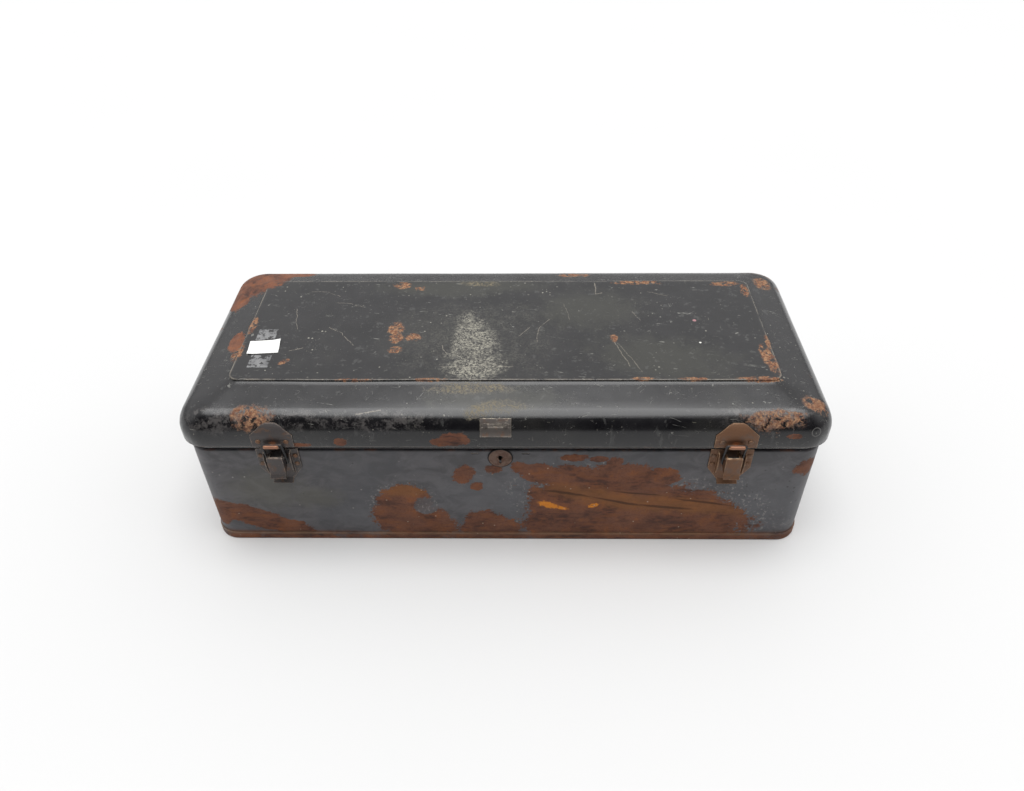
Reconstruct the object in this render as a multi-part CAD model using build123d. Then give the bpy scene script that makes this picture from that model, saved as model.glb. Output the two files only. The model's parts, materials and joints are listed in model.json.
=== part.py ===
from build123d import *
import os
from math import cos, radians, sin, tan

# Pressed-steel truck tool box with a hinged lid, two draw latches and a key lock.
# Frame: millimetres, +Z up, front towards -Y, length along X.
# Origin: centre of the underside of the floor plate.

# ---------------------------------------------------------------- driving dimensions

body_length = 600.0
body_width = 250.0
body_corner = 22.0
body_sheet = 1.2
shoulder_z = 127.5          # top of the outer wall, where it steps in under the lid
shoulder_step = 3.5
upstand_top = 150.0

floor_sheet = 1.2
band_height = 9.0
band_gap = 0.05
bolt_spacing_x = 460.0
bolt_spacing_y = 160.0
bolt_hole = 4.5

lid_length = 610.0
lid_width = 260.0
lid_corner = 26.5
lid_sheet = 1.0
skirt_bottom = 136.4
panel_length = 519.4
panel_width = 169.4
panel_corner = 10.0
panel_rise = 2.0
slope_top = 178.0           # where the sloping margin meets the raised panel
slope_angle = 14.7
lid_edge_radius = 25.5
hem_bottom = 131.5
hem_top = 138.4
hem_depth = 3.4

hinge_x = 190.0
hinge_width = 60.0
hinge_sheet = 1.2
knuckle_radius = 3.3
hinge_pin = 1.5
running_gap = 0.05
knuckle_gap = 0.3
hinge_z = 134.0

latch_x = 213.0
keeper_width = 39.0
keeper_sheet = 1.0
hook_width = 14.6
hook_sheet = 1.2
latch_plate_width = 40.0
latch_sheet = 1.2
lever_half_width = 7.5
lever_sheet = 1.0
wire_radius = 1.1
bail_half_width = 9.0
pivot_pin = 1.25

lock_x = -3.3
lock_z = 118.0
lock_disc = 12.0
keyhole_z = 119.0
key_slot_offset = 24.0
key_slot_z = 123.2

tab_x = -6.75
tab_width = 28.5
tab_low_angle = 15.0        # the tab's reach up the roll, in degrees above the horizontal
tab_high_angle = 47.0

rivet_shank = 1.4
rivet_head = 2.4
rivet_head_height = 1.0
rivet_tail = 2.2
rivet_tail_height = 0.7

# ---------------------------------------------------------------- worked-out places

front = -body_width / 2                       # outer face of the body's front wall
back = body_width / 2
front_inside = front + body_sheet
lid_front = -lid_width / 2
lid_back = lid_width / 2
margin = (lid_length - panel_length) / 2      # width of the sloping margin in plan
roll_tangent = lid_edge_radius * tan(radians(90 - slope_angle) / 2)
slope_edge_z = slope_top - margin * tan(radians(slope_angle))
roll_z = slope_edge_z - roll_tangent          # where the skirt turns into the roll
roll_y = lid_front + lid_edge_radius          # centre of the front roll
hinge_y = lid_back + knuckle_radius

lever_pivot = (front - 7.0, 124.0)            # places in the latch, as (y, z)
bail_pivot = (front - 4.5, 115.5)
bail_bar = (front - 9.4, 142.0)


# ---------------------------------------------------------------- shared shapes

def slab(length, width, corner, z_low, z_high):
    """A flat block with rounded corners in plan, centred on the box."""
    return Pos(0, 0, z_low) * extrude(RectangleRounded(length, width, corner), z_high - z_low)


def block(x_low, x_high, y_low, y_high, z_low, z_high):
    """A plain block between two corners."""
    centre = Pos((x_low + x_high) / 2, (y_low + y_high) / 2, (z_low + z_high) / 2)
    return centre * Box(x_high - x_low, y_high - y_low, z_high - z_low)


def side_prism(points, x_low, x_high):
    """A prism along X from an outline of (y, z) points."""
    outline = Polygon(*points, align=None)
    return extrude(Plane.YZ.offset(x_low) * outline, x_high - x_low, dir=(1, 0, 0))


def front_prism(points, y_low, y_high):
    """A prism along Y from an outline of (x, z) points."""
    outline = Polygon(*points, align=None)
    return extrude(Plane.XZ.offset(-y_high) * outline, y_high - y_low, dir=(0, -1, 0))


def rod_x(radius, x_low, x_high, y, z):
    """A round bar along X."""
    middle = Pos((x_low + x_high) / 2, y, z) * Rot(0, 90, 0)
    return middle * Cylinder(radius, x_high - x_low)


def rod_y(radius, y_low, y_high, x, z):
    """A round bar along Y."""
    middle = Pos(x, (y_low + y_high) / 2, z) * Rot(90, 0, 0)
    return middle * Cylinder(radius, y_high - y_low)


def rivet(x, z, y_outer, y_inner):
    """A rivet along Y, from the outer face of the stack to its inner face."""
    outwards = 1 if y_outer > y_inner else -1
    head_end = y_outer + outwards * rivet_head_height
    tail_end = y_inner - outwards * rivet_tail_height
    shank = rod_y(rivet_shank, min(y_outer, y_inner), max(y_outer, y_inner), x, z)
    head = rod_y(rivet_head, min(y_outer, head_end), max(y_outer, head_end), x, z)
    rim = head.edges().filter_by(GeomType.CIRCLE).sort_by(Axis.Y)
    rim = rim[-1] if outwards > 0 else rim[0]
    head = fillet(rim, rivet_head_height * 0.8)
    tail = rod_y(rivet_tail, min(y_inner, tail_end), max(y_inner, tail_end), x, z)
    return shank + head + tail


def rivet_holes(places, y_low, y_high):
    """The round holes that a row of rivets passes through."""
    holes = [rod_y(rivet_shank + running_gap, y_low, y_high, x, z) for x, z in places]
    return Compound(children=holes)


def roll_band(inner, outer, start, end, x_low, x_high):
    """A curved strip round the lid's front roll, between two radii and two angles."""
    ring = Circle(outer) - Circle(inner)
    steps = 8
    reach = 3 * outer
    angles = [start + (end - start) * i / steps for i in range(steps + 1)]
    fan = [(-reach * cos(radians(a)), reach * sin(radians(a))) for a in angles]
    wedge = Polygon((0, 0), *fan, align=None)
    strip = Pos(roll_y, roll_z) * (ring & wedge)
    return extrude(Plane.YZ.offset(x_low) * strip, x_high - x_low, dir=(1, 0, 0))


# ---------------------------------------------------------------- rivet places, as (x, z)

hinge_rivet_offsets = (-20.0, 0.0, 20.0)
hinge_lid_rivet_z = 144.0
hinge_body_rivet_z = 107.0
keeper_rivet_x = 13.0
keeper_rivet_z = 144.0
latch_rivet_x = 16.4
latch_rivet_z = (111.0, 121.5)
tab_rivet_x = 9.5
tab_rivet_angle = 33.0


def hinge_rivet_places(z):
    return [(side * hinge_x + dx, z) for side in (-1, 1) for dx in hinge_rivet_offsets]


def keeper_rivet_places():
    return [(side * latch_x + dx, keeper_rivet_z)
            for side in (-1, 1) for dx in (-keeper_rivet_x, keeper_rivet_x)]


def latch_rivet_places():
    return [(side * latch_x + dx, z) for side in (-1, 1)
            for dx in (-latch_rivet_x, latch_rivet_x) for z in latch_rivet_z]


# ---------------------------------------------------------------- body

def key_shape(y_low, y_high, extra=0.0):
    """The keyhole: a round hole with a slot below it."""
    hole = rod_y(2.6 + extra, y_low, y_high, lock_x, keyhole_z)
    slot = block(lock_x - 1.1 - extra, lock_x + 1.1 + extra, y_low, y_high,
                 keyhole_z - 8.0 - extra, keyhole_z)
    return hole + slot


def make_body_shell():
    outer_wall = slab(body_length, body_width, body_corner, floor_sheet + band_gap, shoulder_z)
    top_rim = outer_wall.faces().sort_by(Axis.Z)[-1].edges()
    outer_wall = fillet(top_rim, 2.6)
    inner_wall = slab(body_length - 2 * body_sheet, body_width - 2 * body_sheet,
                      body_corner - body_sheet, 0, shoulder_z - body_sheet)
    inner_rim = inner_wall.faces().sort_by(Axis.Z)[-1].edges()
    inner_wall = fillet(inner_rim, 1.4)
    neck = slab(body_length - 2 * shoulder_step, body_width - 2 * shoulder_step,
                body_corner - shoulder_step, shoulder_z - body_sheet, upstand_top)
    mouth_inset = shoulder_step + body_sheet
    mouth = slab(body_length - 2 * mouth_inset, body_width - 2 * mouth_inset,
                 body_corner - mouth_inset, shoulder_z - 5, upstand_top + 5)
    shell = outer_wall + neck - inner_wall - mouth
    shell -= rivet_holes(latch_rivet_places(), front - 1, front + 3)
    shell -= rivet_holes(hinge_rivet_places(hinge_body_rivet_z), back - 3, back + 1)
    shell -= key_shape(front - 1, front + 2, 0.4)
    for side in (-1, 1):
        x = lock_x + side * key_slot_offset
        shell -= block(x - 3.4, x + 3.4, front - 1, front + 2, key_slot_z - 0.8, key_slot_z + 0.8)
    return shell


def make_base_band():
    """The beaded band round the foot of the wall."""
    grow = floor_sheet + band_gap
    band = slab(body_length + 2 * grow, body_width + 2 * grow, body_corner + grow, 0, band_height)
    band = fillet(band.faces().sort_by(Axis.Z)[0].edges(), 0.9)
    band -= slab(body_length + 2 * band_gap, body_width + 2 * band_gap,
                 body_corner + band_gap, -1, band_height + 1)
    return band


def make_floor_plate():
    """The flat floor inside the band, with its four bolt holes."""
    plate = slab(body_length, body_width, body_corner, 0, floor_sheet)
    for x in (-bolt_spacing_x / 2, bolt_spacing_x / 2):
        for y in (-bolt_spacing_y / 2, bolt_spacing_y / 2):
            plate -= Pos(x, y, floor_sheet / 2) * Cylinder(bolt_hole, 3 * floor_sheet)
    return plate


# ---------------------------------------------------------------- lid

def lid_form(inset):
    """The lid's solid outer form, drawn in by a distance on every side."""
    drop = inset / cos(radians(slope_angle))
    panel_z = slope_top - drop
    edge_z = panel_z - (margin - inset) * tan(radians(slope_angle))
    skirt = slab(lid_length - 2 * inset, lid_width - 2 * inset, lid_corner - inset,
                 skirt_bottom, edge_z)
    low = Pos(0, 0, edge_z) * RectangleRounded(lid_length - 2 * inset, lid_width - 2 * inset,
                                               lid_corner - inset)
    high = Pos(0, 0, panel_z) * RectangleRounded(panel_length, panel_width, panel_corner)
    form = skirt + loft([low, high], ruled=True)
    rim = [e for e in form.edges() if abs(e.center().Z - edge_z) < 0.01
           and abs(e.bounding_box().max.Z - e.bounding_box().min.Z) < 0.01]
    form = fillet(rim, lid_edge_radius - inset)
    panel = slab(panel_length - 2 * inset, panel_width - 2 * inset, panel_corner - inset,
                 panel_z - 1, panel_z + panel_rise)
    return form + panel


def make_lid_shell():
    shell = lid_form(0) - lid_form(lid_sheet)
    shell -= slab(lid_length - 2 * lid_sheet, lid_width - 2 * lid_sheet, lid_corner - lid_sheet,
                  skirt_bottom - 1, skirt_bottom + 1)
    hem_inner = lid_sheet + hem_depth
    hem = slab(lid_length - 2 * lid_sheet, lid_width - 2 * lid_sheet, lid_corner - lid_sheet,
               hem_bottom, hem_top)
    hem -= slab(lid_length - 2 * hem_inner, lid_width - 2 * hem_inner, lid_corner - hem_inner,
                hem_bottom - 1, hem_top + 1)
    hem = fillet(hem.faces().sort_by(Axis.Z)[0].edges(), 1.5)
    shell += hem
    shell -= rivet_holes(keeper_rivet_places(), lid_front - 1, lid_front + 2)
    shell -= rivet_holes(hinge_rivet_places(hinge_lid_rivet_z), lid_back - 2, lid_back + 1)
    for rivet_hole in tab_rivets(rivet_shank + running_gap, rivet_shank + running_gap):
        shell -= rivet_hole
    return shell


def tab_rivets(shank, head):
    """The two rivets that hold the lift tab, pointing out square to the roll."""
    made = []
    for side in (-1, 1):
        base = Pos(tab_x + side * tab_rivet_x, roll_y, roll_z) * Rot(90 - tab_rivet_angle, 0, 0)
        length = 4.0
        rod = Pos(0, 0, lid_edge_radius + 0.2) * Cylinder(shank, length)
        cap = Pos(0, 0, lid_edge_radius + 1.2 + length / 2 - 1.5) * Cylinder(head, 1.0)
        made.append(base * (rod + cap))
    return made


def on_roll(radius, angle):
    """A point (y, z) at a radius and an angle above the horizontal round the front roll's centre."""
    return roll_y - radius * cos(radians(angle)), roll_z + radius * sin(radians(angle))


def make_lift_tab():
    inner = lid_edge_radius + running_gap
    outer = inner + 1.1
    low = tab_x - tab_width / 2
    high = tab_x + tab_width / 2
    band = roll_band(inner, outer, tab_low_angle, tab_high_angle, low, high)
    lip = side_prism([on_roll(inner, tab_low_angle + 1), on_roll(outer, tab_low_angle + 1),
                      on_roll(outer + 1.8, tab_low_angle - 4), on_roll(outer + 0.9, tab_low_angle - 6),
                      on_roll(inner, tab_low_angle - 1)], low, high)
    tab = band + lip
    for rivet_hole in tab_rivets(rivet_shank + running_gap, rivet_shank + running_gap):
        tab -= rivet_hole
    return tab


def slope_under(y):
    """Height of the lid's underside on the sloping front margin."""
    reach = -y - panel_width / 2
    return slope_top - lid_sheet / cos(radians(slope_angle)) - reach * tan(radians(slope_angle))


strike_x = lock_x + 13.0        # places of the strike's tongue and the eye in it
strike_y = -112.0
bolt_z = 110.0


def make_lid_strike():
    half = 5.0
    near = strike_y - half
    far = strike_y + half
    foot_far = far + 6.0
    tongue = side_prism([(near, 104.5), (far, 104.5), (far, slope_under(far)),
                         (near, slope_under(near))], strike_x - 1.0, strike_x + 1.0)
    tongue -= block(strike_x - 3, strike_x + 3, strike_y - 3.2, strike_y + 3.2,
                    bolt_z - 3.2, bolt_z + 3.2)
    foot = side_prism([(near, slope_under(near) - 1.2), (foot_far, slope_under(foot_far) - 1.2),
                       (foot_far, slope_under(foot_far)), (near, slope_under(near))],
                      strike_x - 11.0, strike_x + 11.0)
    return tongue + foot - (lid_form(0) - lid_form(lid_sheet))


# ---------------------------------------------------------------- hinges

def knuckle(x_low, x_high):
    return rod_x(knuckle_radius, x_low, x_high, hinge_y, hinge_z)


def pin_bore(x_low, x_high):
    return rod_x(hinge_pin + running_gap, x_low, x_high, hinge_y, hinge_z)


def make_hinge_body_leaf(x):
    low = x - hinge_width / 2
    high = x + hinge_width / 2
    third = hinge_width / 3
    plate_out = back + hinge_sheet
    leaf = block(low, high, back, plate_out, 97, 121.6)
    for start in (low, high - third):
        end = start + third
        arm = side_prism([(back, 119), (plate_out, 119), (plate_out, 121.6),
                          (hinge_y, hinge_z - 3.1), (hinge_y - 2.1, hinge_z - 2.0),
                          (back, 123.5)], start, end)
        leaf += arm + knuckle(start, end)
    leaf -= pin_bore(low - 1, high + 1)
    places = [(x + dx, hinge_body_rivet_z) for dx in hinge_rivet_offsets]
    return leaf - rivet_holes(places, back - 1, plate_out + 1)


def make_hinge_lid_leaf(x):
    low = x - hinge_width / 2
    high = x + hinge_width / 2
    third = hinge_width / 3
    plate_out = lid_back + hinge_sheet
    tongue_low = low + third + knuckle_gap
    tongue_high = high - third - knuckle_gap
    leaf = block(low, high, lid_back, plate_out, 138.2, 150)
    leaf += block(tongue_low, tongue_high, lid_back, plate_out, hinge_z, 140)
    leaf += knuckle(tongue_low, tongue_high)
    leaf -= pin_bore(low - 1, high + 1)
    places = [(x + dx, hinge_lid_rivet_z) for dx in hinge_rivet_offsets]
    return leaf - rivet_holes(places, lid_back - 1, plate_out + 1)


def make_hinge_pin(x):
    half = hinge_width / 2
    head = rod_x(hinge_pin + 0.7, x - half - 1.2, x - half, hinge_y, hinge_z)
    return head + rod_x(hinge_pin, x - half, x + half + 0.8, hinge_y, hinge_z)


# ---------------------------------------------------------------- latches

def make_keeper(x):
    half = keeper_width / 2
    flat_out = lid_front - keeper_sheet
    strip = block(x - half, x + half, flat_out, lid_front, skirt_bottom + 0.6, roll_z)
    strip += roll_band(lid_edge_radius, lid_edge_radius + keeper_sheet, 0, 48, x - half, x + half)
    outline = [(x - half, 130), (x + half, 130), (x + half, 151.5), (x + 8.5, 160.5),
               (x + 4.5, 162.2), (x - 4.5, 162.2), (x - 8.5, 160.5), (x - half, 151.5)]
    plate = strip & front_prism(outline, lid_front - 10, lid_front + 10)
    bar_y, bar_z = bail_bar
    floor = bar_z - wire_radius - 0.2
    lip = bar_y - wire_radius - 0.6
    hook = side_prism([(lid_front, floor - hook_sheet - 0.6), (lip + 0.6, floor - hook_sheet),
                       (lip - hook_sheet, floor + 0.8), (lip - hook_sheet, bar_z + 0.5),
                       (lip, bar_z + 0.5), (lip, floor + 0.6), (lip + 0.6, floor),
                       (lid_front, floor)], x - hook_width / 2, x + hook_width / 2)
    places = [(x - keeper_rivet_x, keeper_rivet_z), (x + keeper_rivet_x, keeper_rivet_z)]
    return plate + hook - rivet_holes(places, lid_front - 5, lid_front + 5)


def make_latch_base(x):
    half = latch_plate_width / 2
    face = front - latch_sheet
    outline = [(x - half, 130.3), (x + half, 130.3), (x + half, 106), (x + 9.5, 91),
               (x - 9.5, 91), (x - half, 106)]
    plate = front_prism(outline, face, front)
    lip = side_prism([(front, 91.0), (face, 92.4), (face - 4.6, 89.0), (face - 3.9, 88.0),
                      (front, 89.8)], x - 9.5, x + 9.5)
    base = plate + lip
    pivot_y, pivot_z = lever_pivot
    for side in (-1, 1):
        ear_low, ear_high = sorted((x + side * 5.0, x + side * 6.2))
        ear = side_prism([(face, pivot_z - 8.0), (pivot_y - 1.0, pivot_z - 3.0),
                          (pivot_y - 1.0, pivot_z + 2.9), (face, pivot_z + 2.9)], ear_low, ear_high)
        ear += rod_x(3.1, ear_low, ear_high, pivot_y, pivot_z)
        cheek_low, cheek_high = sorted((x + side * 12.0, x + side * 13.0))
        cheek = side_prism([(face, 99), (face - 3.2, 102.5), (face - 4.6, 112), (face - 4.6, 124),
                            (face - 3.2, 127.2), (face, 128.6)], cheek_low, cheek_high)
        base += ear + cheek
    base -= rod_x(pivot_pin + running_gap, x - 8, x + 8, pivot_y, pivot_z)
    places = [(x + dx, z) for dx in (-latch_rivet_x, latch_rivet_x) for z in latch_rivet_z]
    return base - rivet_holes(places, front - 3, front + 1)


def make_latch_pin(x):
    pivot_y, pivot_z = lever_pivot
    return rod_x(pivot_pin, x - 7.7, x + 7.7, pivot_y, pivot_z)


def make_latch_lever(x):
    pivot_y, pivot_z = lever_pivot
    bail_y, bail_z = bail_pivot
    inside = pivot_y - 4.0
    outside = inside - lever_sheet - 0.2
    face = side_prism([(inside, pivot_z + 4.2), (outside, pivot_z + 3.2), (outside, 107.5),
                       (outside - 3.0, 104.2), (outside - 2.0, 103.4), (inside, 106.5)],
                      x - lever_half_width, x + lever_half_width)
    lever = face
    flange_outline = [(inside - 0.2, pivot_z + 4.0), (pivot_y + 2.2, pivot_z + 4.0),
                      (pivot_y + 4.2, pivot_z + 2.0), (bail_y + 2.4, bail_z + 1.0),
                      (bail_y + 2.0, bail_z - 2.6), (inside + 1.6, 108), (inside - 0.2, 106.5)]
    for side in (-1, 1):
        ends = (x + side * (lever_half_width - lever_sheet), x + side * lever_half_width)
        lever += side_prism(flange_outline, min(ends), max(ends))
    lever -= rod_x(pivot_pin + running_gap, x - 9, x + 9, pivot_y, pivot_z)
    lever -= rod_x(wire_radius + running_gap, x - 9, x + 9, bail_y, bail_z)
    return lever


def make_latch_bail(x):
    foot_y, foot_z = bail_pivot
    top_y, top_z = bail_bar
    foot_in = lever_half_width - lever_sheet + 0.1
    route = FilletPolyline((x - foot_in, foot_y, foot_z), (x - bail_half_width, foot_y, foot_z),
                           (x - bail_half_width, top_y, top_z), (x + bail_half_width, top_y, top_z),
                           (x + bail_half_width, foot_y, foot_z), (x + foot_in, foot_y, foot_z),
                           radius=1.25)
    start = Plane(origin=route @ 0, z_dir=route % 0)
    return sweep(start * Circle(wire_radius), path=route)


# ---------------------------------------------------------------- lock

def make_lock_face():
    disc = rod_y(lock_disc, front - 1.2, front, lock_x, lock_z)
    rim = disc.edges().filter_by(GeomType.CIRCLE).sort_by(Axis.Y)[0]
    return fillet(rim, 0.7) - key_shape(front - 3, front + 1)


def make_lock_case():
    back_plate = front_inside + 1.2
    flange = block(lock_x - 29, lock_x + 29, front_inside, back_plate, 103, 125)
    flange -= key_shape(front, back_plate + 1, 0.4)
    for side in (-1, 1):
        x = lock_x + side * key_slot_offset
        flange += block(x - 3.2, x + 3.2, front + 0.5, front_inside, key_slot_z - 0.65,
                        key_slot_z + 0.65)
    box = block(lock_x - 20, lock_x + 20, back_plate, back_plate + 20, 103, 125)
    box -= block(lock_x - 18.8, lock_x + 18.8, back_plate, back_plate + 18.8, 104.2, 123.8)
    box -= block(strike_x - 2.6, strike_x + 2.6, strike_y - 7.4, strike_y + 7.4, 102, 126)
    return flange + box


def make_lock_barrel():
    start = front_inside + 1.6
    end = -107.0
    barrel = rod_y(3.9, start, end, lock_x, keyhole_z)
    barrel -= key_shape(start - 1, start + 9, -0.2)
    finger = block(lock_x - 0.8, lock_x + 0.8, strike_y - 2.0, strike_y + 2.0,
                   keyhole_z - 5.7, keyhole_z)
    turned = Pos(lock_x, 0, keyhole_z) * Rot(0, 45, 0) * Pos(-lock_x, 0, -keyhole_z)
    return barrel + turned * finger


def make_lock_bolt():
    near = strike_y - 2.6
    far = strike_y + 2.6
    rest_end = strike_x - 2.6
    bar = block(lock_x - 17.0, rest_end, near, far, bolt_z - 2.6, bolt_z + 2.2)
    bar += block(lock_x - 11.5, lock_x + 3.5, near, far, bolt_z + 2.2, bolt_z + 4.6)
    bar -= block(lock_x - 7.8, lock_x - 0.2, near - 1, far + 1, bolt_z + 2.2, bolt_z + 6)
    return bar


# ---------------------------------------------------------------- the whole box

def all_nodes():
    nodes = {
        "body_shell": make_body_shell(),
        "base_band": make_base_band(),
        "floor_plate": make_floor_plate(),
        "lid_shell": make_lid_shell(),
        "lid_lift_tab": make_lift_tab(),
        "lift_tab_rivets": tab_rivets(rivet_shank, rivet_head),
        "lid_strike": make_lid_strike(),
        "lock_face": make_lock_face(),
        "lock_case": make_lock_case(),
        "lock_barrel": make_lock_barrel(),
        "lock_bolt": make_lock_bolt(),
        "hinge_lid_rivets": [rivet(x, z, lid_back + hinge_sheet, lid_back - lid_sheet)
                             for x, z in hinge_rivet_places(hinge_lid_rivet_z)],
        "hinge_body_rivets": [rivet(x, z, back + hinge_sheet, back - body_sheet)
                              for x, z in hinge_rivet_places(hinge_body_rivet_z)],
        "keeper_rivets": [rivet(x, z, lid_front - keeper_sheet, lid_front + lid_sheet)
                          for x, z in keeper_rivet_places()],
        "latch_base_rivets": [rivet(x, z, front - latch_sheet, front_inside)
                              for x, z in latch_rivet_places()],
    }
    for name, side in (("left", -1), ("right", 1)):
        nodes["hinge_body_leaf_" + name] = make_hinge_body_leaf(side * hinge_x)
        nodes["hinge_lid_leaf_" + name] = make_hinge_lid_leaf(side * hinge_x)
        nodes["hinge_pin_" + name] = make_hinge_pin(side * hinge_x)
        nodes["keeper_" + name] = make_keeper(side * latch_x)
        nodes["latch_base_" + name] = make_latch_base(side * latch_x)
        nodes["latch_pin_" + name] = make_latch_pin(side * latch_x)
        nodes["latch_lever_" + name] = make_latch_lever(side * latch_x)
        nodes["latch_bail_" + name] = make_latch_bail(side * latch_x)
    return nodes


os.makedirs("parts", exist_ok=True)
for node, shape in all_nodes().items():
    if isinstance(shape, list):
        shape = Compound(children=shape)
    export_step(shape, "parts/" + node + ".step")
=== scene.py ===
import json
from math import cos, pi, radians, sin, tan

import bmesh
import bpy
from mathutils import Matrix, Vector

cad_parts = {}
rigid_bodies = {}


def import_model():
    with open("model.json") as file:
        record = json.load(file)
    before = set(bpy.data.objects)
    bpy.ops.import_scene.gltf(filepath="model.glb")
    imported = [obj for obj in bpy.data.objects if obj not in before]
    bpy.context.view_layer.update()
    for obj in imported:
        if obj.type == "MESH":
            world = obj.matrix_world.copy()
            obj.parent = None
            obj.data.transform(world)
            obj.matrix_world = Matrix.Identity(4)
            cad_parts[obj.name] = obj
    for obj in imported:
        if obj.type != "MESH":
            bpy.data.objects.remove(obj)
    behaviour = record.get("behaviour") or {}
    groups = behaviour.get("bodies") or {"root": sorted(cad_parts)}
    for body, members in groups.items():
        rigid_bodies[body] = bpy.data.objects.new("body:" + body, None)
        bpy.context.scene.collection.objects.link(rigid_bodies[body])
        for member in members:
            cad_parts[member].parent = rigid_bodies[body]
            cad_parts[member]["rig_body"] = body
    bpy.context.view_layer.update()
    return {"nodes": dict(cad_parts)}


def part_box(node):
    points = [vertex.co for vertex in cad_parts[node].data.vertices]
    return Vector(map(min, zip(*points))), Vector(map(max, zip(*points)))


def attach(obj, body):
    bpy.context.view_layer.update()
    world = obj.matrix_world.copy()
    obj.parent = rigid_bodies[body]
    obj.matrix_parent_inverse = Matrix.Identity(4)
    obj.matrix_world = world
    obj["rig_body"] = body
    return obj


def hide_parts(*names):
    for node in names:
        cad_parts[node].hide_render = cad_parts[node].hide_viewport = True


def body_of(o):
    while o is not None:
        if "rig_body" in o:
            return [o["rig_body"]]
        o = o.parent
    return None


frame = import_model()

# Truck tool box: the looks of every piece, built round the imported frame.
# Metres, +Z up, front towards -Y, length along X, origin under the middle of the floor plate.

MM = 0.001
nodes = frame["nodes"]

_, lid_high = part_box("lid_shell")
body_low, body_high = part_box("body_shell")

# ---------------------------------------------------------------- driving sizes

half_length = lid_high.x            # of the lid, in plan
half_width = lid_high.y
lid_top = lid_high.z
body_half_length = body_high.x
body_half_width = body_high.y
body_mouth = body_high.z

lid_corner = 26.5 * MM
lid_sheet = 1.0 * MM
skirt_low = 136.4 * MM
margin = 45.3 * MM                  # sloping border round the raised panel
slope = radians(14.7)
panel_rise = 2.0 * MM
panel_corner = 10.0 * MM
edge_roll = 25.5 * MM
panel_base = lid_top - panel_rise
slope_low = panel_base - margin * tan(slope)
roll_start = slope_low - edge_roll * tan((pi / 2 - slope) / 2)
panel_half_length = half_length - margin
panel_half_width = half_width - margin

body_corner = 22.0 * MM
body_sheet = 1.2 * MM
shoulder = 127.5 * MM
shoulder_round = 2.6 * MM
neck_inset = 3.5 * MM
merge_reach = 0.00002               # metres; corners nearer than this are one
sheet_grid = 8.0 * MM               # spacing of the cuts that let the sheet take dents

# the curl under the skirt, each step (inwards, down) in mm
hem_curl = ((0.25, 0.6), (1.1, 0.9), (1.2, 1.5), (0.5, 1.5), (0.7, 0.4), (0.8, -0.4), (0.4, -1.6),
            (0.0, -2.2))

lock_x = -3.3 * MM
keyhole_z = 119.0 * MM
slot_offset = 24.0 * MM
slot_z = 123.2 * MM
latch_x = 213.0 * MM

# the rolled lip of a keeper's hook
bead_half, bead_round = 7.0 * MM, 1.05 * MM
bead_front, bead_back = -138.3 * MM, -136.0 * MM
bead_bottom, bead_top = 141.0 * MM, 144.6 * MM

# the paper ticket: its middle, its turn, its half sizes and its thickness
ticket_x, ticket_y, ticket_turn = -236.5 * MM, -34.5 * MM, radians(-5)
ticket_half_x, ticket_half_y, ticket_sheet = 15.0 * MM, 10.5 * MM, 0.25 * MM
ticket_low = lid_top + 0.15 * MM
ticket_grid = 1.5 * MM

# the camera: where it stands and how it is turned
camera_lens = 28.25
camera_place = Vector((0.02057, -0.66099, 0.65651))
pitch, yaw, lean = radians(40.71), radians(-1.28), radians(-0.81)

# the studio's light
overhead_strength, overhead_spread = 2.9, radians(52)
overhead_towards = Vector((0.0, 0.13, -1.0))
front_light, low_light, high_light, camera_white = 0.05, 0.3, 1.2, 0.97


# ---------------------------------------------------------------- node helpers

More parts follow.
